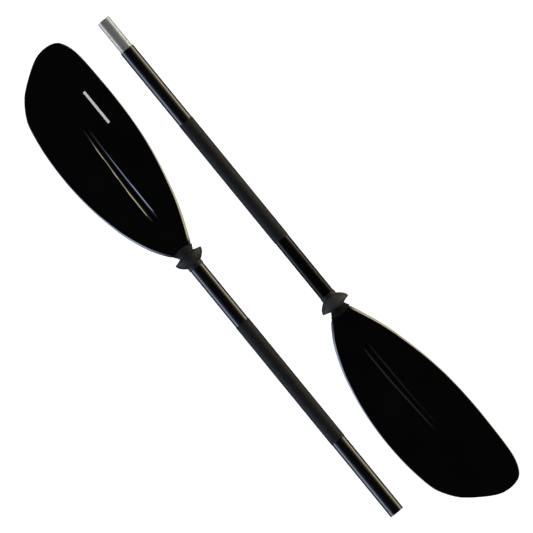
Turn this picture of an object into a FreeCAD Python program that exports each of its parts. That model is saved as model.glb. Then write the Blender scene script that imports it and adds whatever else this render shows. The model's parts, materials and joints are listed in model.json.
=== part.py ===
import FreeCAD, Part
import math
import os

from FreeCAD import Vector

# A two-piece touring kayak paddle, taken apart: the two halves lie side by side, head to tail.
# Every half is drawn in its own frame: x runs from the joint plane to the blade's tip, y across
# the blade, z out of the power face, with the shaft's axis on the x axis.
# The row frame has its origin at the centre of the female mouth. The female half runs to -X.

# ---------------------------------------------------------------- driving dimensions, mm
HALF_LENGTH = 1100.0          # joint plane to blade tip
TUBE_RADIUS = 15.0
TUBE_END = 638.0              # where the tube butts against the blade's root
TUBE_BORE = 13.2
SOCKET_BORE = 13.5            # the reamed stretch at the joint end of either tube
SOCKET_DEPTH = 75.0
EDGE_BREAK = 0.3

GLUE_LINE = 0.03              # radial gap between parts that are bonded or shrunk together
SLIDING_GAP = 0.1             # radial gap of the ferrule in the socket
FOAM_GAP = 0.3

GRIP_START = 176.0
GRIP_END = 463.0
GRIP_WALL = 0.6

# Drip ring: x and radius. A hub, then a dome, then a flank slightly dished towards the blade.
RING_START = 599.0
RING_HUB_RADIUS = 15.9
RING_DOME = (
    (606.5, RING_HUB_RADIUS),
    (608.6, 19.2),
    (611.6, 22.8),
    (616.8, 27.6),
    (621.0, 29.8),
    (624.2, 30.5),
)
RING_END = (630.1, 15.9)
RING_FLANK = (
    (625.6, 30.0),
    (626.8, 24.8),
    (628.5, 19.2),
    RING_END,
)
RING_BORE_GAP = 0.08

FERRULE_REACH = 70.7          # exposed length, in front of the male shoulder
FERRULE_BORE = 12.1
FERRULE_CHAMFER = 0.8

BUTTON_X = -25.0              # on the exposed ferrule
BUTTON_RADIUS = 3.0
BUTTON_TIP = 16.2             # from the shaft's axis, when it stands out
BUTTON_DOME = 1.4
BUTTON_FLANGE_RADIUS = 4.2
BUTTON_FLANGE_TOP = 10.2
BUTTON_FLANGE_THICKNESS = 1.0
BUTTON_HOLE_RADIUS = 3.25
FEATHER_HOLE_RADIUS = 3.3
FEATHER_ANGLES = (-60, 0, 60)  # from straight down, on the underside of the female tube
SHOULDER_GAP = 0.2            # left between the male shoulder and the mouth when assembled

SPRING_THICKNESS = 0.5
SPRING_WIDTH = 7.0
SPRING_FOOT = 6.0             # how far the arms run past the button
SPRING_BEND_X = 32.0
SPRING_BEND_RADIUS = 2.0
SPRING_TOP = 11.1             # height of the upper arm where it bears on the bore

PLUG_LENGTH = 30.0
JOINT_PLUG_X = 84.0
BLADE_PLUG_X = 515.0
FERRULE_PLUG_LENGTH = 22.0
FERRULE_PLUG_RECESS = 2.0

SPIGOT_START = 572.0          # the blade's spigot inside the tube
SPIGOT_CORE = 9.0
SPIGOT_CORE_END = 630.0
PIN_X = 603.0                 # spring pin through tube and spigot, under the drip ring's hub
PIN_RADIUS = 2.0
PIN_BORE = 1.2
PIN_SLIT = 0.8
PIN_HALF_LENGTH = 14.4

# How the two halves lie.
MALE_SHOULDER_X = -1001.7
MALE_AXIS_Y = 158.0

# Blade plate: x, then the edges on the -y and +y sides.
BLADE_EDGE = (
    (638.5, -21.0, 18.2),
    (641.0, -23.0, 19.4),
    (650.0, -31.5, 24.0),
    (675.0, -47.6, 34.6),
    (700.0, -59.2, 44.4),
    (725.0, -68.2, 52.6),
    (750.0, -75.2, 59.4),
    (800.0, -84.8, 70.8),
    (850.0, -89.8, 78.8),
    (900.0, -90.6, 83.0),
    (950.0, -87.4, 84.6),
    (1000.0, -79.0, 84.0),
    (1025.0, -69.0, 83.3),
    (1050.0, -51.5, 81.6),
    (1065.0, -35.0, 78.9),
    (1078.0, -17.0, 74.4),
    (1088.0, -1.5, 68.6),
    (1094.5, 11.0, 61.5),
    (1098.3, 22.0, 52.0),
    (HALF_LENGTH, 34.0, 41.0),
)
PLATE_RIM = 2.8               # rim thickness over the outer half of the blade
PLATE_ROOT_RIM = 10.8         # rim thickness at the root
PLATE_THIN_FROM = 900.0
PLATE_THIN_POWER = 1.3
PLATE_CROWN = 0.8             # extra half thickness along the middle
CAMBER_START = 680.0
CAMBER_RISE = 26.0            # how far the tip stands forward of the shaft's axis
DISH_RISE = 5.0               # how far an edge stands forward of the middle, at DISH_HALF_WIDTH
DISH_HALF_WIDTH = 85.0
PLATE_POINTS = 9

# Channel in the power face: x, y, half width and depth. Its cutter starts and ends above the face.
CHANNEL_TRACK = (
    (722.0, -4.4, 7.4, 2.6),
    (735.0, -4.5, 7.7, 3.45),
    (755.0, -4.4, 7.7, 3.75),
    (800.0, -3.9, 7.5, 3.75),
    (850.0, -2.2, 6.6, 3.4),
    (885.0, -0.8, 6.2, 3.1),
    (915.0, 0.8, 5.8, 2.6),
)
CHANNEL_ENDS = (710.0, 955.0)
CHANNEL_CLEARANCE = 0.3
FEMALE_CHANNEL_SHARE = 1.0    # the male blade's channel is pressed a little shallower
MALE_CHANNEL_SHARE = 0.72

# Spine on the back: x, y and radius at either end.
SPINE_ROOT = (642.0, 0.0, 10.8)
SPINE_TIP = (978.0, 5.5, 2.6)
SPINE_COVER = 0.8             # plate left over the spine on the face side
SPINE_STATIONS = 8
ROOT_LENGTH = 14.0
ROOT_TIP_RADIUS = 8.0

# Rubber collar: x, then reach on the -y side, the +y side, and above and below.
COLLAR_SECTIONS = (
    (630.5, 15.9, 15.9, 15.9),
    (634.0, 18.2, 17.8, 17.0),
    (637.0, 20.6, 19.6, 18.0),
    (639.6, 22.6, 20.8, 18.6),
    (641.4, 19.4, 18.2, 18.2),
    (643.2, 14.4, 13.6, 16.8),
    (644.8, 8.0, 7.6, 13.0),
)

OVAL_POINTS = 16

X_AXIS = Vector(1, 0, 0)
Y_AXIS = Vector(0, 1, 0)
Z_AXIS = Vector(0, 0, 1)
ORIGIN = Vector(0, 0, 0)


# ---------------------------------------------------------------- helpers
def rod(radius, start, end):
    """A solid cylinder along the shaft's axis."""
    return Part.makeCylinder(radius, end - start, Vector(start, 0, 0), X_AXIS)


def pipe(outer, inner, start, end):
    """A straight tube along the shaft's axis."""
    return rod(outer, start, end).cut(rod(inner, start - 1, end + 1))


def turned(profile):
    """A solid of revolution about the shaft's axis, from (x, r) points."""
    points = [Vector(x, 0, r) for x, r in profile]
    face = Part.Face(Part.makePolygon(points + points[:1]))
    return face.revolve(ORIGIN, X_AXIS, 360)


def radial_drill(radius, x, degrees, length):
    """A drill from the shaft's axis outward, at an angle from straight down."""
    angle = math.radians(degrees)
    direction = Vector(0, math.sin(angle), -math.cos(angle))
    return Part.makeCylinder(radius, length, Vector(x, 0, 0), direction)


def loft(wires):
    return Part.makeLoft(wires, True, False)


def ring_wire(x, y, z, radius):
    return Part.Wire(Part.Circle(Vector(x, y, z), X_AXIS, radius).toShape())


def even_curve(points, closed=False):
    """A smooth curve through points, with the same knots for every curve of as many points."""
    spans = len(points) if closed else len(points) - 1
    shares = [index / spans for index in range(spans + 1)]
    curve = Part.BSplineCurve()
    curve.interpolate(Points=points, PeriodicFlag=closed, Parameters=shares)
    return curve.toShape()


def blend(start, end, share):
    return start + (end - start) * share


# ---------------------------------------------------------------- shaft pieces
def shaft_tube():
    """Glossy tube, reamed at the joint end, drilled for the blade's pin."""
    tube = pipe(TUBE_RADIUS, TUBE_BORE, 0, TUBE_END)
    tube = tube.cut(rod(SOCKET_BORE, 0, SOCKET_DEPTH))
    mouth_bevel = Part.makeCone(
        SOCKET_BORE + EDGE_BREAK, SOCKET_BORE, EDGE_BREAK, ORIGIN, X_AXIS
    )
    tube = tube.cut(mouth_bevel)
    return tube.cut(pin_drill())


def pin_drill():
    start = Vector(PIN_X, 0, -TUBE_RADIUS - 1)
    return Part.makeCylinder(PIN_RADIUS + GLUE_LINE, 2 * TUBE_RADIUS + 2, start, Z_AXIS)


def female_shaft_tube():
    """The same tube with feather holes on its underside."""
    tube = shaft_tube()
    hole_x = -BUTTON_X - SHOULDER_GAP
    for degrees in FEATHER_ANGLES:
        tube = tube.cut(radial_drill(FEATHER_HOLE_RADIUS, hole_x, degrees, 2 * TUBE_RADIUS))
    return tube


def grip_sleeve():
    """Thin matte sleeve shrunk on the tube, with eased ends."""
    inner = TUBE_RADIUS + GLUE_LINE
    outer = TUBE_RADIUS + GRIP_WALL
    ease = GRIP_WALL / 2
    return turned([
        (GRIP_START, inner),
        (GRIP_START, outer - ease),
        (GRIP_START + ease, outer),
        (GRIP_END - ease, outer),
        (GRIP_END, outer - ease),
        (GRIP_END, inner),
    ])


def spline_through(points):
    """A smooth edge through (x, r) points."""
    curve = Part.BSplineCurve()
    curve.interpolate([Vector(x, 0, r) for x, r in points])
    return curve.toShape()


def drip_ring():
    """Rubber umbrella on a hub, slightly dished towards the blade."""
    bore = TUBE_RADIUS + RING_BORE_GAP
    rim = (RING_DOME[-1], RING_FLANK[0])
    hub = (
        RING_END,
        (RING_END[0], bore),
        (RING_START, bore),
        (RING_START, RING_HUB_RADIUS - EDGE_BREAK),
        (RING_START + EDGE_BREAK, RING_HUB_RADIUS),
        RING_DOME[0],
    )
    edges = [spline_through(RING_DOME), spline_through(RING_FLANK)]
    for corners in (rim, hub):
        edges += Part.makePolygon([Vector(x, 0, r) for x, r in corners]).Edges
    face = Part.Face(Part.Wire(Part.__sortEdges__(edges)))
    return face.revolve(ORIGIN, X_AXIS, 360)


def foam_plug(start):
    return rod(TUBE_BORE - FOAM_GAP, start, start + PLUG_LENGTH)


def blade_pin():
    """Slit spring pin, flush with the tube on both sides."""
    start = Vector(PIN_X, 0, -PIN_HALF_LENGTH)
    pin = Part.makeCylinder(PIN_RADIUS, 2 * PIN_HALF_LENGTH, start, Z_AXIS)
    pin = pin.cut(Part.makeCylinder(PIN_BORE, 2 * PIN_HALF_LENGTH, start, Z_AXIS))
    slit = Part.makeBox(
        2 * PIN_RADIUS, PIN_SLIT, 2 * PIN_HALF_LENGTH,
        Vector(PIN_X, -PIN_SLIT / 2, -PIN_HALF_LENGTH),
    )
    return pin.cut(slit)


# ---------------------------------------------------------------- ferrule and its lock
def ferrule():
    """Silver tube bonded into the male shaft, with a hole for the button."""
    exposed = SOCKET_BORE - SLIDING_GAP
    bonded = SOCKET_BORE - GLUE_LINE
    bonded_end = SOCKET_DEPTH - EDGE_BREAK
    body = turned([
        (-FERRULE_REACH, FERRULE_BORE),
        (-FERRULE_REACH, exposed - FERRULE_CHAMFER),
        (-FERRULE_REACH + FERRULE_CHAMFER, exposed),
        (0, exposed),
        (0, bonded),
        (bonded_end, bonded),
        (bonded_end, FERRULE_BORE),
    ])
    return body.cut(radial_drill(BUTTON_HOLE_RADIUS, BUTTON_X, 0, 2 * TUBE_RADIUS))


def ferrule_plug():
    start = -FERRULE_REACH + FERRULE_PLUG_RECESS
    return rod(FERRULE_BORE - GLUE_LINE, start, start + FERRULE_PLUG_LENGTH)


def snap_button():
    """Domed button with a flange that keeps it inside the ferrule."""
    flange_bottom = BUTTON_FLANGE_TOP + BUTTON_FLANGE_THICKNESS
    flange = Part.makeCylinder(
        BUTTON_FLANGE_RADIUS, BUTTON_FLANGE_THICKNESS, Vector(BUTTON_X, 0, -flange_bottom), Z_AXIS
    )
    stem = Part.makeCylinder(
        BUTTON_RADIUS, BUTTON_TIP - flange_bottom, Vector(BUTTON_X, 0, -BUTTON_TIP), Z_AXIS
    )
    dome_radius = (BUTTON_RADIUS ** 2 + BUTTON_DOME ** 2) / (2 * BUTTON_DOME)
    ball = Part.makeSphere(dome_radius, Vector(BUTTON_X, 0, dome_radius - BUTTON_TIP))
    return flange.fuse(stem.common(ball))


def button_spring():
    """V leaf spring: one arm behind the button, the other against the top of the bore."""
    half = SPRING_THICKNESS / 2
    low = -BUTTON_FLANGE_TOP + half
    route = [
        (BUTTON_X - SPRING_FOOT, low),
        (BUTTON_X + SPRING_FOOT, low),
        (SPRING_BEND_X - SPRING_BEND_RADIUS, -SPRING_BEND_RADIUS),
        (SPRING_BEND_X, 0),
        (SPRING_BEND_X - SPRING_BEND_RADIUS, SPRING_BEND_RADIUS),
        (BUTTON_X - SPRING_FOOT, SPRING_TOP),
    ]
    strip = None
    for (x0, z0), (x1, z1) in zip(route, route[1:]):
        length = math.hypot(x1 - x0, z1 - z0)
        leg = Part.makeBox(
            length, SPRING_WIDTH, SPRING_THICKNESS, Vector(0, -SPRING_WIDTH / 2, -half)
        )
        leg.rotate(ORIGIN, Y_AXIS, -math.degrees(math.atan2(z1 - z0, x1 - x0)))
        leg.translate(Vector(x0, 0, z0))
        strip = leg if strip is None else strip.fuse(leg)
    for x, z in route[1:-1]:
        bend = Part.makeCylinder(half, SPRING_WIDTH, Vector(x, -SPRING_WIDTH / 2, z), Y_AXIS)
        strip = strip.fuse(bend)
    return strip.removeSplitter()


# ---------------------------------------------------------------- blade
def rim_half(x):
    """Half the plate's thickness at its rim."""
    share = max(0.0, (PLATE_THIN_FROM - x) / (PLATE_THIN_FROM - BLADE_EDGE[0][0]))
    return (PLATE_RIM + (PLATE_ROOT_RIM - PLATE_RIM) * share ** PLATE_THIN_POWER) / 2


def middle_height(x, y):
    """Height of the plate's middle surface: spooned along its length, dished across."""
    reach = max(0.0, x - CAMBER_START) / (HALF_LENGTH - CAMBER_START)
    return CAMBER_RISE * reach ** 2 + DISH_RISE * (y / DISH_HALF_WIDTH) ** 2


def face_height(x, y):
    """Height of the power face on the blade's middle line."""
    return middle_height(x, y) + rim_half(x) + PLATE_CROWN


def plate_section(x, y_low, y_high):
    """One closed cross-section: two gentle curves joined by round rims."""
    half = rim_half(x)
    reach = (y_high - y_low) / 2 - half
    centre = (y_high + y_low) / 2
    crown = PLATE_CROWN * min(1.0, reach / DISH_HALF_WIDTH * 2)
    upper = []
    lower = []
    for index in range(PLATE_POINTS):
        share = -1 + 2 * index / (PLATE_POINTS - 1)
        y = centre + reach * share
        swell = half + crown * (1 - share ** 2)
        upper.append(Vector(x, y, middle_height(x, y) + swell))
        lower.append(Vector(x, y, middle_height(x, y) - swell))
    lower.reverse()
    high_rim = Part.Arc(upper[-1], Vector(x, y_high, middle_height(x, y_high)), lower[0])
    low_rim = Part.Arc(lower[-1], Vector(x, y_low, middle_height(x, y_low)), upper[0])
    return Part.Wire([
        even_curve(upper), high_rim.toShape(), even_curve(lower), low_rim.toShape()
    ])


def channel_radius(half_width, depth):
    """Radius of the round cutter that opens the face this wide at this depth."""
    return (half_width ** 2 + depth ** 2) / (2 * depth)


def channel(depth_share):
    """The cutter for the channel: round sections whose axes run above the face."""
    sections = []
    for x, y, half_width, depth in CHANNEL_TRACK:
        radius = channel_radius(half_width, depth * depth_share)
        sections.append((x, y, radius, depth * depth_share))
    for index, x in zip((0, -1), CHANNEL_ENDS):
        sections.append((x, sections[index][1], sections[index][2], -CHANNEL_CLEARANCE))
    sections.sort()
    wires = []
    for x, y, radius, depth in sections:
        wires.append(ring_wire(x, y, face_height(x, y) + radius - depth, radius))
    return Part.makeLoft(wires, True, True)


def spine():
    """Round rib on the back, from the root to the channel's end; it stays buried on the face side."""
    wires = []
    for index in range(SPINE_STATIONS):
        share = index / (SPINE_STATIONS - 1)
        x, y, radius = [blend(a, b, share) for a, b in zip(SPINE_ROOT, SPINE_TIP)]
        wires.append(ring_wire(x, y, face_height(x, y) - radius - SPINE_COVER, radius))
    return loft(wires)


def blade(channel_share):
    """One moulding: plate, channel, spine, root and the spigot that enters the tube."""
    plate = loft([plate_section(*station) for station in BLADE_EDGE])
    root = Part.makeCone(
        TUBE_RADIUS - EDGE_BREAK, ROOT_TIP_RADIUS, ROOT_LENGTH, Vector(TUBE_END, 0, 0), X_AXIS
    )
    spigot = pipe(TUBE_BORE - GLUE_LINE, SPIGOT_CORE, SPIGOT_START, SPIGOT_CORE_END)
    spigot = spigot.fuse(rod(TUBE_BORE - GLUE_LINE, SPIGOT_CORE_END, TUBE_END + 2))
    body = plate.fuse(spine()).cut(channel(channel_share))
    return body.fuse(root).fuse(spigot).cut(pin_drill())


def oval_wire(x, low, high, tall):
    """A closed oval across the shaft: reach on the -y side, the +y side, and above and below."""
    points = []
    for index in range(OVAL_POINTS):
        angle = 2 * math.pi * index / OVAL_POINTS
        side = high if math.cos(angle) > 0 else low
        points.append(Vector(x, side * math.cos(angle), tall * math.sin(angle)))
    return Part.Wire(even_curve(points, closed=True))


def collar(blade_shape):
    """Rubber boot: flares from the tube, then domes over the blade's root."""
    boot = loft([oval_wire(*section) for section in COLLAR_SECTIONS])
    boot = boot.cut(rod(TUBE_RADIUS + GLUE_LINE, COLLAR_SECTIONS[0][0] - 1, TUBE_END))
    return boot.cut(blade_shape)


# ---------------------------------------------------------------- assembly
def as_female(shape):
    """The female half is the mirror image about the joint plane."""
    return shape.mirror(ORIGIN, X_AXIS)


def as_male(shape):
    placed = shape.copy()
    placed.translate(Vector(MALE_SHOULDER_X, MALE_AXIS_Y, 0))
    return placed


def half_pieces(channel_share):
    """The pieces that both halves have."""
    blade_shape = blade(channel_share)
    return {
        "blade": blade_shape,
        "collar": collar(blade_shape),
        "grip": grip_sleeve(),
        "drip_ring": drip_ring(),
        "joint_plug": foam_plug(JOINT_PLUG_X),
        "blade_plug": foam_plug(BLADE_PLUG_X),
        "blade_pin": blade_pin(),
    }


def build():
    nodes = {
        "female_tube": as_female(female_shaft_tube()),
        "male_tube": as_male(shaft_tube()),
        "ferrule": as_male(ferrule()),
        "ferrule_plug": as_male(ferrule_plug()),
        "snap_button": as_male(snap_button()),
        "button_spring": as_male(button_spring()),
    }
    for name, shape in half_pieces(FEMALE_CHANNEL_SHARE).items():
        nodes["female_" + name] = as_female(shape)
    for name, shape in half_pieces(MALE_CHANNEL_SHARE).items():
        nodes["male_" + name] = as_male(shape)
    return nodes


os.makedirs("parts", exist_ok=True)
for node, solid in build().items():
    solid.exportStep("parts/" + node + ".step")
    box = solid.BoundBox
    print(node, len(solid.Solids), solid.isValid(), round(solid.Volume / 1000, 2), "cm3", box)
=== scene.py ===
import json
import math

import bmesh
import bpy
import numpy as np
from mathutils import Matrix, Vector


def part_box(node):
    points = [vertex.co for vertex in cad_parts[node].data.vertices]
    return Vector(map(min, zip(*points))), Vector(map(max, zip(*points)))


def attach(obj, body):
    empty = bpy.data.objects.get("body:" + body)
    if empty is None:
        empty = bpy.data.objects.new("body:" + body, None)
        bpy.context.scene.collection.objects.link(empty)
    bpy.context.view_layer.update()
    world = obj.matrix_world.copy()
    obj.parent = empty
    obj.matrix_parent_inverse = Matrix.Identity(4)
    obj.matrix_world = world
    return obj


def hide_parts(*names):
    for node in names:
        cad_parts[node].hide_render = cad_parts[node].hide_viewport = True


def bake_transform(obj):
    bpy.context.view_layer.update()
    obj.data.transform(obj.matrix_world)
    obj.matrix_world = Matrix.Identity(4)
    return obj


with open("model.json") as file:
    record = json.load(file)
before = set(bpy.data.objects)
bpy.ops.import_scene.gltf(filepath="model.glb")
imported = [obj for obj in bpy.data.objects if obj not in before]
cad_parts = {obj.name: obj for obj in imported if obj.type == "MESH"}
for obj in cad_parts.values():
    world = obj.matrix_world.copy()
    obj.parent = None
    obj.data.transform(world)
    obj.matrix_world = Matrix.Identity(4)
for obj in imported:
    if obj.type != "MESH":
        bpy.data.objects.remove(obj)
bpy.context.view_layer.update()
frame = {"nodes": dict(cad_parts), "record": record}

# Every shape is drawn in the half's own millimetres, as the design is: x from the joint plane to
# the blade's tip, y across the blade, z out of the power face.
MM = 0.001

# ------------------------------------------------------------------ sizes, mm
HALF_LENGTH = 1100.0
BORE_RADIUS = 13.2
BLADE_EDGE = (                # x, and the y of either edge
    (638.5, -21.0, 18.2),
    (641.0, -23.0, 19.4),
    (650.0, -31.5, 24.0),
    (675.0, -47.6, 34.6),
    (700.0, -59.2, 44.4),
    (725.0, -68.2, 52.6),
    (750.0, -75.2, 59.4),
    (800.0, -84.8, 70.8),
    (850.0, -89.8, 78.8),
    (900.0, -90.6, 83.0),
    (950.0, -87.4, 84.6),
    (1000.0, -79.0, 84.0),
    (1025.0, -69.0, 83.3),
    (1050.0, -51.5, 81.6),
    (1065.0, -35.0, 78.9),
    (1078.0, -17.0, 74.4),
    (1088.0, -1.5, 68.6),
    (1094.5, 11.0, 61.5),
    (1098.3, 22.0, 52.0),
    (HALF_LENGTH, 34.0, 41.0),
)
BLADE_START = BLADE_EDGE[0][0]
PLATE_RIM = 2.8               # the plate's thickness at its rim
PLATE_ROOT_RIM = 10.8         # and at the blade's start
PLATE_THIN_FROM = 900.0
PLATE_THIN_POWER = 1.3
PLATE_CROWN = 0.8             # how far either face swells in the middle
TIP_BLUNT = 0.06              # what is left of the rim at the very tip, as a squared share
CAMBER_START = 680.0
CAMBER_RISE = 26.0
DISH_RISE = 5.0
DISH_HALF_WIDTH = 85.0
CHANNEL_TRACK = (             # x, middle, half width and depth of the channel
    (710.0, -4.3, 6.0, 0.0),
    (722.0, -4.4, 7.4, 2.6),
    (735.0, -4.5, 7.7, 3.45),
    (755.0, -4.4, 7.7, 3.75),
    (800.0, -3.9, 7.5, 3.75),
    (850.0, -2.2, 6.6, 3.4),
    (885.0, -0.8, 6.2, 3.1),
    (915.0, 0.8, 5.8, 2.6),
    (955.0, 2.8, 4.8, 0.0),
)
CHANNEL_SHARE = {"female": 1.0, "male": 0.72}       # of that depth, on each blade
CHANNEL_LEAST = 0.01          # shallower than this, the face has no channel
CHANNEL_LIP = 0.35
CHANNEL_FAR_LIP = 1.6         # the lip on the blade's other side softens towards the tip
CHANNEL_SOFTENS = (790.0, 880.0)
SPINE_ROOT = (642.0, 0.0, 10.8)     # x, y and radius
SPINE_TIP = (978.0, 5.5, 2.6)
SPINE_COVER = 0.8
SPINE_RUN_OUT = 0.15          # how fast it sinks into the back past its tip
SPINE_FILLET = 5.0
SPINE_FILLET_SHARE = 0.1      # the fillet's most, as a share of the blade's width
SWELL_HEIGHT = 5.0            # the face's low rise in front of the collar
SWELL_HALF_WIDTH = 24.0
SWELL_END = 672.0
ROOT_RADIUS = 14.0            # the round root under the back
ROOT_END = 662.0
RIM_LEAN = 46.0               # degrees from upright of the bevel's normal
RIM_BEAD = 0.9                # the round outer edge, below the bevel
SPIGOT_START = 572.0
SPIGOT_END = BLADE_START + 4.0
SPIGOT_RADIUS = BORE_RADIUS - 0.05
SPIGOT_CORE = 9.0
SPIGOT_CORNER = 0.6
MARK_SPAN = (915.0, 990.0)    # the printed bar on the female blade
MARK_MIDDLE = 44.4
MARK_WIDTH = 5.0
MARK_PROUD = 0.06
SPRING_ROUTE = (              # x and z along the button's V spring, in the male half
    (-31.0, -9.95), (-19.0, -9.95), (30.0, -2.0), (32.0, 0.0), (30.0, 2.0), (-31.0, 11.1),
)
SPRING_HALF_THICKNESS = 0.25
SPRING_HALF_WIDTH = 3.5
SPRING_STILL = (0.0, 0.0, -1.5)     # a point above the spring's bend, placed but not used further
SPRING_MOVED = (0.0, 0.0, -9.6)     # and one below it, placed but not used further

# ------------------------------------------------------------------ mesh density
STATION_STEPS = 9             # rows between two stations of the blade's edge
CHANNEL_STEPS = 8             # steps between two stations of the channel's track
RIM_STEPS = 6
SIDE_POINTS = 22              # points of a row on either side of the channel's zone
CHANNEL_POINTS = 36           # and in the zone
ZONE_HALF_WIDTH = 13.0
ZONE_SHARE = 0.28             # the zone's most, as a share of the blade's width
ZONE_CLEAR = 0.3              # its middle's least distance from a rim, as a share of the width
SPIGOT_STEPS = 48
CORNER_STEPS = 4
CORNER_REACH = 0.45           # a rounded corner's most, as a share of the side next to it
MARK_STEPS = 24
MARK_COLUMNS = 5
SPRING_STEPS = 10             # rows between two points of the spring's route
SHARP_ANGLE = 35.0            # degrees from which an edge is shaded as sharp


# ------------------------------------------------------------------ the two halves
class Half:
    """Where one half lies: its joint plane, its axis, and the way its blade points."""

    def __init__(self, name):
        low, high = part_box(name + "_tube")
        self.name = name
        self.body = name + "_half"
        self.sign = -1.0 if name == "female" else 1.0
        self.joint_x = high.x if name == "female" else low.x
        self.axis_y = (low.y + high.y) / 2

    def place(self, points):
        """Points in the half's own millimetres, as metres in the row frame."""
        points = np.asarray(points, float)
        return np.stack([
            self.joint_x + self.sign * points[..., 0] * MM,
            self.axis_y + points[..., 1] * MM,
            points[..., 2] * MM,
        ], axis=-1)


HALVES = (Half("female"), Half("male"))
FEMALE, MALE = HALVES


# ------------------------------------------------------------------ mesh helpers
def add_mesh(name, half, verts, faces):
    """A smooth-shaded mesh object from points in a half's millimetres."""
    mesh = bpy.data.meshes.new(name)
    mesh.from_pydata(half.place(verts).tolist(), [], faces)
    mesh.validate()
    shell = bmesh.new()
    shell.from_mesh(mesh)
    bmesh.ops.recalc_face_normals(shell, faces=shell.faces)
    shell.to_mesh(mesh)
    shell.free()
    mesh.polygons.foreach_set("use_smooth", [True] * len(mesh.polygons))
    mesh.set_sharp_from_angle(angle=math.radians(SHARP_ANGLE))
    obj = bpy.data.objects.new(name, mesh)
    bpy.context.scene.collection.objects.link(obj)
    return obj


def grid_faces(rows, columns, first=0, closed_rows=True, looped=False):
    """Quads between neighbouring rows of equal length; looped joins the last row to the first."""
    faces = []
    for row in range(rows if looped else rows - 1):
        here = first + row * columns
        beyond = first + (row + 1) % rows * columns
        for column in range(columns if closed_rows else columns - 1):
            after = (column + 1) % columns
            faces.append((beyond + column, beyond + after, here + after, here + column))
    return faces


def fillet(points, radius):
    """Rounds each corner of a closed (x, r) outline."""
    rounded = []
    count = len(points)
    for index in range(count):
        before, corner, after = (Vector(points[(index + k) % count]) for k in (-1, 0, 1))
        shorter = min((corner - before).length, (after - corner).length)
        size = min(radius, shorter * CORNER_REACH)
        start = corner + (before - corner).normalized() * size
        end = corner + (after - corner).normalized() * size
        for step in range(CORNER_STEPS + 1):
            share = step / CORNER_STEPS
            first = start.lerp(corner, share)
            rounded.append(tuple(first.lerp(corner.lerp(end, share), share)))
    return rounded


def turned(outline, steps):
    """Rows of points: a closed (x, r) outline turned about the shaft's axis."""
    x, radius = np.array(outline).T
    angle = np.linspace(0, 2 * math.pi, steps, endpoint=False)[:, None]
    across, up = radius * np.cos(angle), radius * np.sin(angle)
    return np.stack([np.broadcast_to(x, across.shape), across, up], axis=-1).reshape(-1, 3)


def curve_points(points, steps):
    """A smooth curve through points: Catmull-Rom, with straight ends."""
    track = np.asarray(points, float)
    padded = np.vstack([2 * track[0] - track[1], track, 2 * track[-1] - track[-2]])
    rows = []
    for index in range(len(track) - 1):
        p0, p1, p2, p3 = padded[index:index + 4]
        for step in range(steps):
            t = step / steps
            rows.append(0.5 * (
                2 * p1 + (p2 - p0) * t
                + (2 * p0 - 5 * p1 + 4 * p2 - p3) * t ** 2
                + (3 * p1 - p0 - 3 * p2 + p3) * t ** 3
            ))
    rows.append(track[-1])
    return np.array(rows)


def curve_at(curve, x):
    """A curve's other columns at x, which is its first."""
    return [np.interp(x, curve[:, 0], column) for column in curve[:, 1:].T]


def soft_max(a, b, width):
    """The larger of two heights, rounded where they cross."""
    share = np.clip(0.5 + (a - b) / (2 * width), 0.0, 1.0)
    return b + (a - b) * share + width * share * (1 - share)


def soft_min(a, b, width):
    """The smaller of two heights, rounded where they cross."""
    return -soft_max(-a, -b, width)


def round_under(y, centre, radius, axis, beside):
    """The underside of a round bar with its axis at that height, or beside where y is past it."""
    inside = radius ** 2 - (y - centre) ** 2
    return np.where(inside > 0, axis - np.sqrt(np.maximum(inside, 0.0)), beside)


# ------------------------------------------------------------------ blade
EDGE_CURVE = curve_points(BLADE_EDGE, STATION_STEPS)
CHANNEL_CURVE = curve_points(CHANNEL_TRACK, CHANNEL_STEPS)


def rim_half(x):
    """Half the plate's thickness at its rim."""
    share = max(0.0, (PLATE_THIN_FROM - x) / (PLATE_THIN_FROM - BLADE_START))
    return (PLATE_RIM + (PLATE_ROOT_RIM - PLATE_RIM) * share ** PLATE_THIN_POWER) / 2


def tip_share(x):
    """Thins the plate over its last stretch, so that the tip's edge is round too."""
    past = max(0.0, x - (HALF_LENGTH - PLATE_RIM / 2)) / (PLATE_RIM / 2)
    return math.sqrt(max(TIP_BLUNT, 1 - past ** 2))


def middle_height(x, y):
    """Height of the plate's middle, which bends up to the tip and dishes across."""
    reach = max(0.0, x - CAMBER_START) / (HALF_LENGTH - CAMBER_START)
    return CAMBER_RISE * reach ** 2 + DISH_RISE * (y / DISH_HALF_WIDTH) ** 2


def along(start, end, x):
    """Point and radius of a tapering bar at x."""
    share = (x - start[0]) / (end[0] - start[0])
    return start[1] + (end[1] - start[1]) * share, start[2] + (end[2] - start[2]) * share


def cut_channel(x, y, face, depth_share):
    """The face with the channel pressed into it: an arc with soft lips."""
    centre, half_width, depth = curve_at(CHANNEL_CURVE, x)
    depth *= depth_share
    if depth < CHANNEL_LEAST:
        return face
    radius = (half_width ** 2 + depth ** 2) / (2 * depth)
    arc = round_under(y, centre, radius, face + radius - depth, face + radius)
    soften = np.interp(x, CHANNEL_SOFTENS, (0.0, 1.0))
    far_lip = CHANNEL_LIP + (CHANNEL_FAR_LIP - CHANNEL_LIP) * soften
    lip = np.where(y > centre, far_lip, CHANNEL_LIP) * min(1.0, depth)
    return soft_min(face, arc, lip)


def spine_back(x, y, back):
    """Height of the spine's underside, or far above the back outside it."""
    centre, radius = along(SPINE_ROOT, SPINE_TIP, min(x, SPINE_TIP[0]))
    past = max(0.0, x - SPINE_TIP[0])
    face = middle_height(x, centre) + rim_half(x) + PLATE_CROWN
    axis = face - radius - SPINE_COVER + past * SPINE_RUN_OUT
    return round_under(y, centre, radius, axis, back + radius)


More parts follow.
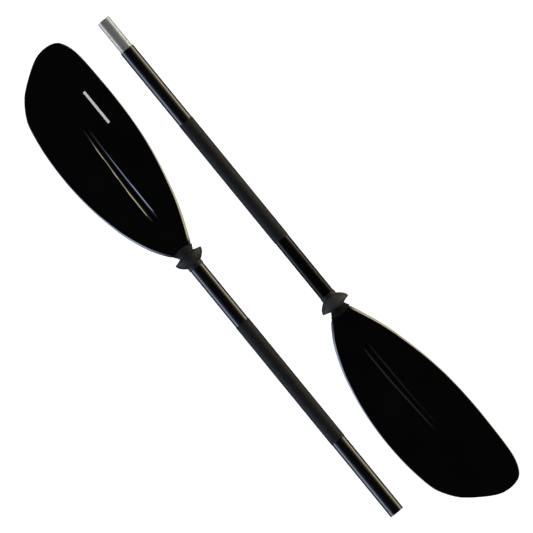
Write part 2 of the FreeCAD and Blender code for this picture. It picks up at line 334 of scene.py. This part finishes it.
def root_back(x, y, back):
    """Height of the round root's underside, or far above the back outside it."""
    share = (x - BLADE_START) / (ROOT_END - BLADE_START)
    radius = ROOT_RADIUS * math.sqrt(max(0.0, 1 - share ** 2))
    return round_under(y, 0.0, radius, 0.0, back + ROOT_RADIUS)


def root_swell(x, y):
    """The face's rise in front of the collar."""
    out = max(0.0, 1 - (x - BLADE_START) / (SWELL_END - BLADE_START))
    across = np.maximum(0.0, 1 - (y / SWELL_HALF_WIDTH) ** 2)
    return SWELL_HEIGHT * out ** 2 * across ** 2


def rim_profile(half):
    """Outward and upward offsets from the face's edge, down the bevel and round the bead."""
    lean = math.radians(RIM_LEAN)
    bead = min(RIM_BEAD, half)
    drop = half - bead * math.cos(lean)
    run = drop / math.tan(lean)
    turns = np.linspace(lean, math.pi / 2, RIM_STEPS)
    outward = np.concatenate([[run / 2], run + bead * (np.sin(turns) - math.sin(lean))])
    upward = np.concatenate([[half - drop / 2], bead * np.cos(turns)])
    return outward, upward


def plate_heights(x, y, low, high):
    """The plain face and back of the plate between its rims at low and high."""
    share = (y - (low + high) / 2) / ((high - low) / 2)
    crown = PLATE_CROWN * min(1.0, (high - low) / DISH_HALF_WIDTH) * tip_share(x)
    swell = rim_half(x) * tip_share(x) + crown * (1 - share ** 2)
    middle = middle_height(x, y)
    return middle + swell, middle - swell


def plate_span(x, y_low, y_high):
    """The rim's profile at x, and where the face ends on either side."""
    outward, upward = rim_profile(rim_half(x) * tip_share(x))
    return outward, upward, y_low + outward[-1], y_high - outward[-1]


def blade_row(x, y_low, y_high, channel_share):
    """One closed loop round the blade, with its points densest round the channel."""
    outward, upward, low, high = plate_span(x, y_low, y_high)
    width = high - low
    clear = ZONE_CLEAR * width
    centre = min(max(curve_at(CHANNEL_CURVE, x)[0], low + clear), high - clear)
    zone = min(ZONE_HALF_WIDTH, ZONE_SHARE * width)
    y = np.concatenate([
        np.linspace(low, centre - zone, SIDE_POINTS)[:-1],
        np.linspace(centre - zone, centre + zone, CHANNEL_POINTS)[:-1],
        np.linspace(centre + zone, high, SIDE_POINTS),
    ])
    face, back = plate_heights(x, y, low, high)
    face = cut_channel(x, y, face, channel_share) + root_swell(x, y)
    spine = np.minimum(spine_back(x, y, back), root_back(x, y, back))
    back = soft_min(back, spine, min(SPINE_FILLET, width * SPINE_FILLET_SHARE))
    outward = np.concatenate([outward, outward[-2::-1]])
    upward = np.concatenate([upward, -upward[-2::-1]])
    high_y, low_y = high + outward, low - outward
    loop = np.vstack([
        np.column_stack([y, face]),
        np.column_stack([high_y, middle_height(x, high_y) + upward]),
        np.column_stack([y, back])[::-1],
        np.column_stack([low_y, middle_height(x, low_y) - upward]),
    ])
    return np.column_stack([np.full(len(loop), x), loop])


def make_blade(half):
    """The visible blade, with its round rim, channel and spine, and the spigot in the tube."""
    rows = [blade_row(*station, CHANNEL_SHARE[half.name]) for station in EDGE_CURVE]
    columns = len(rows[0])
    count = columns * len(rows)
    faces = grid_faces(len(rows), columns)
    faces.append(tuple(range(columns)))
    faces.append(tuple(reversed(range(count - columns, count))))
    outline = fillet([
        (SPIGOT_START, SPIGOT_CORE), (SPIGOT_START, SPIGOT_RADIUS),
        (SPIGOT_END, SPIGOT_RADIUS), (SPIGOT_END, SPIGOT_CORE),
    ], SPIGOT_CORNER)
    faces += grid_faces(SPIGOT_STEPS, len(outline), first=count, looped=True)
    verts = np.vstack(rows + [turned(outline, SPIGOT_STEPS)])
    blade = add_mesh(half.name + "_blade_skin", half, verts, faces)
    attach(blade, half.body)
    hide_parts(half.name + "_blade")
    blade.visible_glossy = False
    return blade


def make_mark(half):
    """A plain printed bar on the power face, with square ends and no lettering."""
    y = np.linspace(MARK_MIDDLE - MARK_WIDTH / 2, MARK_MIDDLE + MARK_WIDTH / 2, MARK_COLUMNS)
    rows = []
    for x in np.linspace(*MARK_SPAN, MARK_STEPS):
        low, high = plate_span(x, *curve_at(EDGE_CURVE, x))[2:]
        face = plate_heights(x, y, low, high)[0]
        rows.append(np.column_stack([np.full(MARK_COLUMNS, x), y, face]))
    ink = np.vstack(rows)
    count = len(ink)
    verts = np.vstack([ink + (0, 0, MARK_PROUD), ink - (0, 0, MARK_PROUD)])
    top = grid_faces(MARK_STEPS, MARK_COLUMNS, closed_rows=False)
    under = [tuple(index + count for index in reversed(face)) for face in top]
    grid = np.arange(count).reshape(MARK_STEPS, MARK_COLUMNS)
    ring = np.concatenate([
        grid[:, 0], grid[-1, 1:], grid[-2::-1, -1], grid[0, -2:0:-1],
    ]).tolist()
    sides = [(a, b, b + count, a + count) for a, b in zip(ring, ring[1:] + ring[:1])]
    mark = add_mesh(half.name + "_blade_mark", half, verts, top + under + sides)
    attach(mark, half.body)
    return mark


# ------------------------------------------------------------------ button spring
def make_spring(half):
    """The button's V spring, as a fixed strip along its route."""
    corners = np.array(SPRING_ROUTE)
    legs = [np.linspace(a, b, SPRING_STEPS, endpoint=False) for a, b in zip(corners, corners[1:])]
    route = np.vstack(legs + [corners[-1:]])
    along_x, along_z = np.gradient(route, axis=0).T
    reach = SPRING_HALF_THICKNESS / np.hypot(along_x, along_z)
    edges = []
    for side, across in ((1, -1), (1, 1), (-1, 1), (-1, -1)):
        edges.append(np.stack([
            route[:, 0] - side * along_z * reach,
            np.full(len(route), across * SPRING_HALF_WIDTH),
            route[:, 1] + side * along_x * reach,
        ], axis=-1))
    verts = np.stack(edges, axis=1).reshape(-1, 3)
    last = len(verts) - 1
    faces = grid_faces(len(route), len(edges))
    faces += [(0, 1, 2, 3), (last, last - 1, last - 2, last - 3)]
    spring = add_mesh("button_spring_strip", half, verts, faces)
    still, moved = (Vector(half.place(point)) for point in (SPRING_STILL, SPRING_MOVED))
    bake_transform(spring)
    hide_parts("button_spring")
    spring.visible_glossy = False
    return spring


# ------------------------------------------------------------------ material helpers
# Noise scales are per metre, and the distances of bumps are metres.
def node_material(name, **values):
    """A Principled material. values are the shader's own constant sockets."""
    material = bpy.data.materials.new(name)
    material.use_nodes = True
    shader = material.node_tree.nodes["Principled BSDF"]
    for socket, value in values.items():
        shader.inputs[socket.replace("_", " ")].default_value = value
    return material, material.node_tree, shader


def glow_material(name, strength=1.0):
    """A material that only gives light, with its node tree and its colour socket."""
    material = bpy.data.materials.new(name)
    material.use_nodes = True
    tree = material.node_tree
    tree.nodes.clear()
    glow = tree.nodes.new("ShaderNodeEmission")
    glow.inputs["Strength"].default_value = strength
    output = tree.nodes.new("ShaderNodeOutputMaterial")
    tree.links.new(glow.outputs["Emission"], output.inputs["Surface"])
    return material, tree, glow.inputs["Color"]


def stretched_noise(tree, scale, stretch=(1, 1, 1), detail=4.0, roughness=0.55):
    """Noise in the object's own space; stretch under 1 draws it out along that axis."""
    place = tree.nodes.new("ShaderNodeTexCoord")
    mapping = tree.nodes.new("ShaderNodeMapping")
    mapping.inputs["Scale"].default_value = stretch
    noise = tree.nodes.new("ShaderNodeTexNoise")
    noise.inputs["Scale"].default_value = scale
    noise.inputs["Detail"].default_value = detail
    noise.inputs["Roughness"].default_value = roughness
    tree.links.new(place.outputs["Object"], mapping.inputs["Vector"])
    tree.links.new(mapping.outputs["Vector"], noise.inputs["Vector"])
    return noise.outputs["Fac"]


def colour_stops(tree, source, stops, interpolation="LINEAR"):
    """Maps source from 0..1 to colours at several places."""
    node = tree.nodes.new("ShaderNodeValToRGB")
    node.color_ramp.interpolation = interpolation
    elements = node.color_ramp.elements
    while len(elements) < len(stops):
        elements.new(0.5)
    for element, (position, colour) in zip(elements, stops):
        element.position = position
        element.color = (*colour, 1)
    tree.links.new(source, node.inputs["Fac"])
    return node.outputs["Color"]


def two_tones(tree, source, span, tones):
    """Maps source over span from the first of two colours to the second."""
    return colour_stops(tree, source, list(zip(span, tones)))


def remap(tree, source, span, result):
    """Maps source over span to the two ends of result."""
    node = tree.nodes.new("ShaderNodeMapRange")
    for socket, value in zip(("From Min", "From Max", "To Min", "To Max"), (*span, *result)):
        node.inputs[socket].default_value = value
    tree.links.new(source, node.inputs["Value"])
    return node.outputs["Result"]


def coordinate(tree, kind, axis):
    """One axis of the object's own place or normal."""
    place = tree.nodes.new("ShaderNodeTexCoord")
    split = tree.nodes.new("ShaderNodeSeparateXYZ")
    tree.links.new(place.outputs[kind], split.inputs["Vector"])
    return split.outputs[axis]


def position_share(tree, axis, start, end):
    """0 to 1 from start to end along one of the object's own axes."""
    return remap(tree, coordinate(tree, "Object", axis), (start, end), (0.0, 1.0))


def bump(tree, shader, height, strength, distance, before=None):
    """Roughens the shader's normal, on top of an earlier bump where one is given."""
    node = tree.nodes.new("ShaderNodeBump")
    node.inputs["Strength"].default_value = strength
    node.inputs["Distance"].default_value = distance
    tree.links.new(height, node.inputs["Height"])
    if before is not None:
        tree.links.new(before, node.inputs["Normal"])
    tree.links.new(node.outputs["Normal"], shader.inputs["Normal"])
    return node.outputs["Normal"]


def paint(obj, material):
    obj.data.materials.clear()
    obj.data.materials.append(material)


# ------------------------------------------------------------------ materials
NOISE_SPAN = (0.3, 0.7)       # where nearly all of a noise's values lie
SCRATCH_SPAN = (0.35, 0.7)
NYLON = ((0.0012, 0.0012, 0.0014), (0.0022, 0.0022, 0.0025))
LEANING = 0.84                # the normal's upward share where the nylon's polish is full
LEVEL = 0.95                  # and where its satin is
POLISH = 0.88                 # the shader's specular level
POLISH_ROUGHNESS = (0.09, 0.15)
SATIN = 0.012                 # the same
SATIN_ROUGHNESS = 0.50
LAMINATE = ((0.0008, 0.0008, 0.0009), (0.0016, 0.0016, 0.0018))
LAMINATE_POLISH = 0.86
LAMINATE_ROUGHNESS = (0.25, 0.30)
PRINT = ((0.30, 0.30, 0.30), (0.72, 0.72, 0.71))
FOAM = ((0.50, 0.48, 0.44), (0.68, 0.66, 0.61))
RUBBER_CLOUDS = (0.78, 1.22)  # its darkest and lightest clouds, as shares of its tone
RUBBER_BLUE = 1.06            # its blue, as a share of its red and green
RUBBER_SPREAD = (-0.06, 0.08) # how far its roughness strays from the middle
METAL_PATCHES = (0.9, 1.08)   # its dull and bright patches, as shares of its colour
METAL_SPREAD = (-0.05, 0.08)
MALE_HIGHLIGHT_SHADE = (                 # metres past the male grip, share of the laminate's gloss left by the painted shade
    (-0.01, 1.0), (0.0, 0.24), (0.03, 0.12), (0.13, 0.0),
)
GRIP_RUBBER = {"tone": 0.0072, "roughness": 0.62, "specular": 0.22, "grain": 1500, "relief": 0.5}
# painted shade: both collars are one rubber, and the male collar's darker tone stands in for
# shade
COLLAR_RUBBER = {
    "female": {"tone": 0.0100, "roughness": 0.76, "specular": 0.22},
    "male": {"tone": 0.0034, "roughness": 0.76, "specular": 0.14},
}
# painted light and shade: both rings are one rubber; the female ring's darker tone, the male
# ring's lighter tone and each hub's darker share stand in for how the light falls
RING_RUBBER = {
    "female": {"tone": 0.0075, "roughness": 0.62, "specular": 0.46, "shaded_hub_share": 0.7},
    "male": {"tone": 0.0185, "roughness": 0.66, "specular": 0.42, "shaded_hub_share": 0.22},
}
RING_HUB_SHADE = (605.5, 608.5)     # end of the painted shade on the hub and the full tone's start, in a half's millimetres
# painted reflection: the ferrule's colour is tinted warm at one edge and cool at the other, and
# brightened towards both, standing in for the side lamps' glints
SILVER_PAINTED_GLINTS = (              # share of the way across the ferrule along Y, tint of the painted reflection
    (0.0, (2.60, 2.35, 1.95)),
    (0.07, (2.10, 1.90, 1.55)),
    (0.18, (1.36, 1.21, 1.00)),
    (0.5, (1.0, 1.0, 1.0)),
    (0.82, (0.88, 0.98, 1.20)),
    (0.93, (1.22, 1.33, 1.62)),
    (1.0, (1.60, 1.75, 2.10)),
)


def level_share(tree):
    """1 where the object's own surface lies level, 0 where it leans past LEANING."""
    upright = tree.nodes.new("ShaderNodeMath")
    upright.operation = "ABSOLUTE"
    tree.links.new(coordinate(tree, "Normal", "Z"), upright.inputs[0])
    return remap(tree, upright.outputs["Value"], (LEANING, LEVEL), (0.0, 1.0))


def blade_plastic():
    """Moulded black nylon: satin on the flat faces, polished where the skin turns down."""
    material, tree, shader = node_material("blade_plastic")
    tone = stretched_noise(tree, scale=14, detail=5)
    colour = two_tones(tree, tone, (0.3, 0.75), NYLON)
    scratches = stretched_noise(tree, scale=420, stretch=(0.06, 1, 1), detail=6, roughness=0.7)
    level = level_share(tree)
    satin = tree.nodes.new("ShaderNodeMix")
    tree.links.new(level, satin.inputs["Factor"])
    tree.links.new(remap(tree, scratches, SCRATCH_SPAN, POLISH_ROUGHNESS), satin.inputs["A"])
    satin.inputs["B"].default_value = SATIN_ROUGHNESS
    gloss = remap(tree, level, (0.0, 1.0), (POLISH, SATIN))
    tree.links.new(colour, shader.inputs["Base Color"])
    tree.links.new(satin.outputs["Result"], shader.inputs["Roughness"])
    tree.links.new(gloss, shader.inputs["Specular IOR Level"])
    skin = stretched_noise(tree, scale=700, detail=2)
    peel = bump(tree, shader, skin, strength=0.10, distance=0.0002)
    bump(tree, shader, scratches, strength=0.05, distance=0.0002, before=peel)
    return material


def shaft_gloss(name, highlight_shade=()):
    """Polished black laminate with faint lengthwise draw marks. The last argument is (x, share)
    pairs of a painted shade on the gloss.
    """
    material, tree, shader = node_material(name, Specular_IOR_Level=LAMINATE_POLISH)
    tone = stretched_noise(tree, scale=40, stretch=(0.2, 1, 1))
    colour = two_tones(tree, tone, NOISE_SPAN, LAMINATE)
    lines = stretched_noise(tree, scale=900, stretch=(0.02, 1, 1), roughness=0.6)
    roughness = remap(tree, lines, SCRATCH_SPAN, LAMINATE_ROUGHNESS)
    tree.links.new(colour, shader.inputs["Base Color"])
    tree.links.new(roughness, shader.inputs["Roughness"])
    bump(tree, shader, lines, strength=0.03, distance=0.0001)
    # painted shade: the specular tint dims the gloss along x
    if highlight_shade:
        start, end = highlight_shade[0][0], highlight_shade[-1][0]
        share = position_share(tree, "X", start, end)
        stops = [((x - start) / (end - start), (level,) * 3) for x, level in highlight_shade]
        tree.links.new(colour_stops(tree, share, stops), shader.inputs["Specular Tint"])
    return material


def matte_rubber(name, tone, roughness, specular, grain=900, relief=0.4, shaded_hub=(), shaded_hub_share=1.0):
    """Dark moulded rubber: cloudy tone, and a fine grain in its roughness and height.

    The hub span is the x where a painted shade on the hub ends and the x where the full tone
    starts.
    """
    material, tree, shader = node_material(name, Specular_IOR_Level=specular)
    tones = [(tone * share, tone * share, tone * share * RUBBER_BLUE) for share in RUBBER_CLOUDS]
    clouds = stretched_noise(tree, scale=60, detail=6, roughness=0.6)
    colour = two_tones(tree, clouds, (0.32, 0.72), tones)
    # painted shade: the colour is darkened over the hub, beside the dome
    if shaded_hub:
        shade = tree.nodes.new("ShaderNodeVectorMath")
        shade.operation = "SCALE"
        tree.links.new(colour, shade.inputs["Vector"])
        share = remap(tree, position_share(tree, "X", *shaded_hub), (0.0, 1.0), (shaded_hub_share, 1.0))
        tree.links.new(share, shade.inputs["Scale"])
        colour = shade.outputs["Vector"]
    fine = stretched_noise(tree, scale=grain, detail=3, roughness=0.7)
    dullness = remap(tree, fine, NOISE_SPAN, [roughness + step for step in RUBBER_SPREAD])
    tree.links.new(colour, shader.inputs["Base Color"])
    tree.links.new(dullness, shader.inputs["Roughness"])
    bump(tree, shader, fine, relief, distance=0.0003)
    return material


def drawn_metal(name, base, roughness, stretch=(1, 1, 1), metallic=1.0, across=(), painted_glints=()):
    """Metal with fine marks, which stretch draws out into lines, and slightly dulled patches.

    across are the tube's two sides on Y, and the last argument gives (share of the way, tint)
    pairs between them: a painted reflection, warm and cool glints multiplied into the colour.
    """
    material, tree, shader = node_material(name, Metallic=metallic)
    patches = stretched_noise(tree, scale=90, stretch=stretch)
    tones = [tuple(value * share for value in base) for share in METAL_PATCHES]
    colour = two_tones(tree, patches, NOISE_SPAN, tones)
    # painted reflection: the colour is multiplied by side tints across Y
    if painted_glints:
        mix = tree.nodes.new("ShaderNodeMixRGB")
        mix.blend_type = "MULTIPLY"
        mix.inputs["Fac"].default_value = 1.0
        glint_colour = colour_stops(tree, position_share(tree, "Y", *across), painted_glints)
        tree.links.new(colour, mix.inputs["Color1"])
        tree.links.new(glint_colour, mix.inputs["Color2"])
        colour = mix.outputs["Color"]
    lines = stretched_noise(tree, scale=1400, stretch=stretch, detail=5, roughness=0.65)
    dullness = remap(tree, lines, NOISE_SPAN, [roughness + step for step in METAL_SPREAD])
    tree.links.new(colour, shader.inputs["Base Color"])
    tree.links.new(dullness, shader.inputs["Roughness"])
    bump(tree, shader, lines, strength=0.08, distance=0.0001)
    return material


def printed_white():
    """A thin white print, worn in small patches."""
    material, tree, shader = node_material("printed_white", Roughness=0.45)
    wear = stretched_noise(tree, scale=900, stretch=(0.5, 1, 1), detail=5, roughness=0.65)
    tree.links.new(two_tones(tree, wear, (0.28, 0.42), PRINT), shader.inputs["Base Color"])
    bump(tree, shader, wear, strength=0.15, distance=0.0001)
    return material


def closed_foam():
    """Pale foam with fine closed cells."""
    material, tree, shader = node_material("closed_foam", Roughness=0.9)
    place = tree.nodes.new("ShaderNodeTexCoord")
    cells = tree.nodes.new("ShaderNodeTexVoronoi")
    cells.inputs["Scale"].default_value = 900
    tree.links.new(place.outputs["Object"], cells.inputs["Vector"])
    depth = cells.outputs["Distance"]
    tree.links.new(two_tones(tree, depth, (0.1, 0.6), FOAM), shader.inputs["Base Color"])
    bump(tree, shader, depth, strength=0.5, distance=0.0004)
    return material


# ------------------------------------------------------------------ the object
plastic = blade_plastic()
steel = drawn_metal("bright_steel", (0.58, 0.58, 0.57), roughness=0.22)
FINISHES = {
    "blade_plastic": plastic,
    "shaft": shaft_gloss("shaft_gloss"),
    "grip": matte_rubber("grip_rubber", **GRIP_RUBBER),
    # the ferrule's colour carries a painted reflection, from the tints across it
    "ferrule_metal": drawn_metal(
        "ferrule_silver", (0.30, 0.30, 0.30), roughness=0.40, stretch=(0.05, 1, 1), metallic=0.65,
        across=[corner.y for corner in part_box("ferrule")], painted_glints=SILVER_PAINTED_GLINTS,
    ),
    "button_metal": steel,
    "spring_steel": steel,
    "foam": closed_foam(),
}
# painted light and shade: the rings' and the collars' tones differ from half to half, and they
# get theirs further down
for entry in frame["record"]["subparts"]:
    if entry["material_slot"] in FINISHES:
        paint(frame["nodes"][entry["node"]], FINISHES[entry["material_slot"]])

for half in HALVES:
    name = half.name
    shaded_hub = [half.place((x, 0, 0))[0] for x in RING_HUB_SHADE]
    ring_rubber = matte_rubber(name + "_ring_rubber", shaded_hub=shaded_hub, **RING_RUBBER[name])
    collar_rubber = matte_rubber(name + "_collar_rubber", **COLLAR_RUBBER[name])
    paint(frame["nodes"][name + "_drip_ring"], ring_rubber)
    paint(frame["nodes"][name + "_collar"], collar_rubber)
    paint(make_blade(half), plastic)
paint(make_mark(FEMALE), printed_white())
paint(make_spring(MALE), steel)

# painted shade: the male shaft's gloss is dimmed from its grip to its drip ring through its
# specular tint
grip_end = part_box("male_grip")[1].x
highlight_shade = [(grip_end + past, share) for past, share in MALE_HIGHLIGHT_SHADE]
paint(frame["nodes"]["male_tube"], shaft_gloss("shaft_gloss_male", highlight_shade))

# the pieces show the lights in their gloss, and not each other
for node in frame["nodes"].values():
    node.visible_glossy = False


# ------------------------------------------------------------------ studio, metres
VIEW_TURN = 50.77             # degrees between the picture's level and the shafts
VIEW_CENTRE = (-0.5164, 0.1029)
VIEW_WIDTH = 1.0083           # across the picture, at the shafts' height
CAMERA_HEIGHT = 9.0
CAMERA_REACH = 200.0          # how far it sees
SENSOR = 36.0                 # millimetres
FLOOR_DROP = 0.07             # below the drip rings
FLOOR_SIZE = 60.0
FLOOR_COLOUR = (0.3, 0.3, 0.3, 1)
DOME_RADIUS = 60.0
DOME_RINGS, DOME_SIDES = 24, 48
TOP_SIZE = 2.5
TOP_HEIGHT = 3.0
TOP_POWER = 60.0              # watts
BOX_DISTANCE = 2.2
BOX_LENGTH = 7.0
BOX_LOW, BOX_HIGH = -1.3, 2.6
BOX_FALLOFF = (               # elevation from the shafts in degrees, share of the brightness
    (-30, 0.01), (-14, 0.10), (-8, 0.6), (-3, 1.0), (7, 1.0), (12, 0.38), (17, 0.075),
    (32, 0.045), (44, 0.0),
)
COOL, COOL_STRENGTH = (0.60, 0.73, 1.0), 5.5
WARM, WARM_STRENGTH = (1.0, 0.86, 0.62), 6.1
WORLD_STRENGTH = 0.01


def make_camera():
    """A camera far above, looking straight down with the shafts turned across the picture."""
    data = bpy.data.cameras.new("camera")
    data.sensor_width = SENSOR
    data.lens = SENSOR * CAMERA_HEIGHT / VIEW_WIDTH
    data.clip_end = CAMERA_REACH
    camera = bpy.data.objects.new("camera", data)
    camera.location = (*VIEW_CENTRE, CAMERA_HEIGHT)
    camera.rotation_euler = (0, 0, math.radians(VIEW_TURN))
    bpy.context.scene.collection.objects.link(camera)
    bpy.context.scene.camera = camera


def stage_mesh(name, verts, faces):
    """A piece of the studio, which is no part of the object."""
    mesh = bpy.data.meshes.new(name)
    mesh.from_pydata(verts, [], faces)
    piece = bpy.data.objects.new(name, mesh)
    bpy.context.scene.collection.objects.link(piece)
    return piece


def make_floor():
    """A white sheet that glows like a lit white table, low enough for a feathered blade."""
    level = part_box("female_drip_ring")[0].z - FLOOR_DROP
    half = FLOOR_SIZE / 2
    floor = stage_mesh("floor", [
        (-half, -half, level), (half, -half, level), (half, half, level), (-half, half, level)
    ], [(0, 1, 2, 3)])
    material = node_material(
        "floor_white", Base_Color=FLOOR_COLOUR, Roughness=0.9, Specular_IOR_Level=0.0,
        Emission_Color=(1, 1, 1, 1), Emission_Strength=1.0,
    )[0]
    paint(floor, material)
    floor.visible_glossy = False


def make_backdrop():
    """A white dome that only the camera sees, so that every view ends in white."""
    tilt = np.linspace(0, math.pi, DOME_RINGS + 1)[:, None]
    turn = np.linspace(0, 2 * math.pi, DOME_SIDES, endpoint=False)
    height = np.broadcast_to(np.cos(tilt), (DOME_RINGS + 1, DOME_SIDES))
    ball = np.stack([np.sin(tilt) * np.cos(turn), np.sin(tilt) * np.sin(turn), height], axis=-1)
    verts = ball.reshape(-1, 3) * DOME_RADIUS + (*VIEW_CENTRE, 0)
    dome = stage_mesh("backdrop", verts.tolist(), grid_faces(DOME_RINGS + 1, DOME_SIDES))
    paint(dome, glow_material("backdrop_white")[0])
    for rays in ("diffuse", "glossy", "transmission", "shadow"):
        setattr(dome, "visible_" + rays, False)


def make_softbox(name, side, colour, strength):
    """A tall panel beside the shafts, brightest level with them. side is -1 or 1, along Y."""
    x, y = VIEW_CENTRE
    y += side * BOX_DISTANCE
    low, high = x - BOX_LENGTH / 2, x + BOX_LENGTH / 2
    panel = stage_mesh(name, [
        (low, y, BOX_LOW), (high, y, BOX_LOW), (high, y, BOX_HIGH), (low, y, BOX_HIGH)
    ], [(0, 1, 2, 3)])
    material, tree, glow_colour = glow_material(name, strength)
    stops = []
    for degrees, level in BOX_FALLOFF:
        height = BOX_DISTANCE * math.tan(math.radians(degrees))
        share = (height - BOX_LOW) / (BOX_HIGH - BOX_LOW)
        stops.append((share, tuple(level * channel for channel in colour)))
    upward = position_share(tree, "Z", BOX_LOW, BOX_HIGH)
    tree.links.new(colour_stops(tree, upward, stops, "EASE"), glow_colour)
    paint(panel, material)
    panel.visible_camera = False


def make_top_light():
    """A weak soft panel overhead, which lifts the rubber and leaves no mirror image."""
    data = bpy.data.lights.new("top_panel", "AREA")
    data.size = TOP_SIZE
    data.energy = TOP_POWER
    panel = bpy.data.objects.new("top_panel", data)
    panel.location = (*VIEW_CENTRE, TOP_HEIGHT)
    bpy.context.scene.collection.objects.link(panel)
    panel.visible_camera = False
    panel.visible_glossy = False


def make_world():
    """A faint white glow from all round."""
    world = bpy.data.worlds.new("world")
    world.use_nodes = True
    background = world.node_tree.nodes["Background"]
    background.inputs["Color"].default_value = (1, 1, 1, 1)
    background.inputs["Strength"].default_value = WORLD_STRENGTH
    bpy.context.scene.world = world


make_camera()
make_floor()
make_backdrop()
make_softbox("cool_box", -1, COOL, COOL_STRENGTH)
make_softbox("warm_box", 1, WARM, WARM_STRENGTH)
make_top_light()
make_world()
bpy.context.scene.view_settings.view_transform = "Standard"
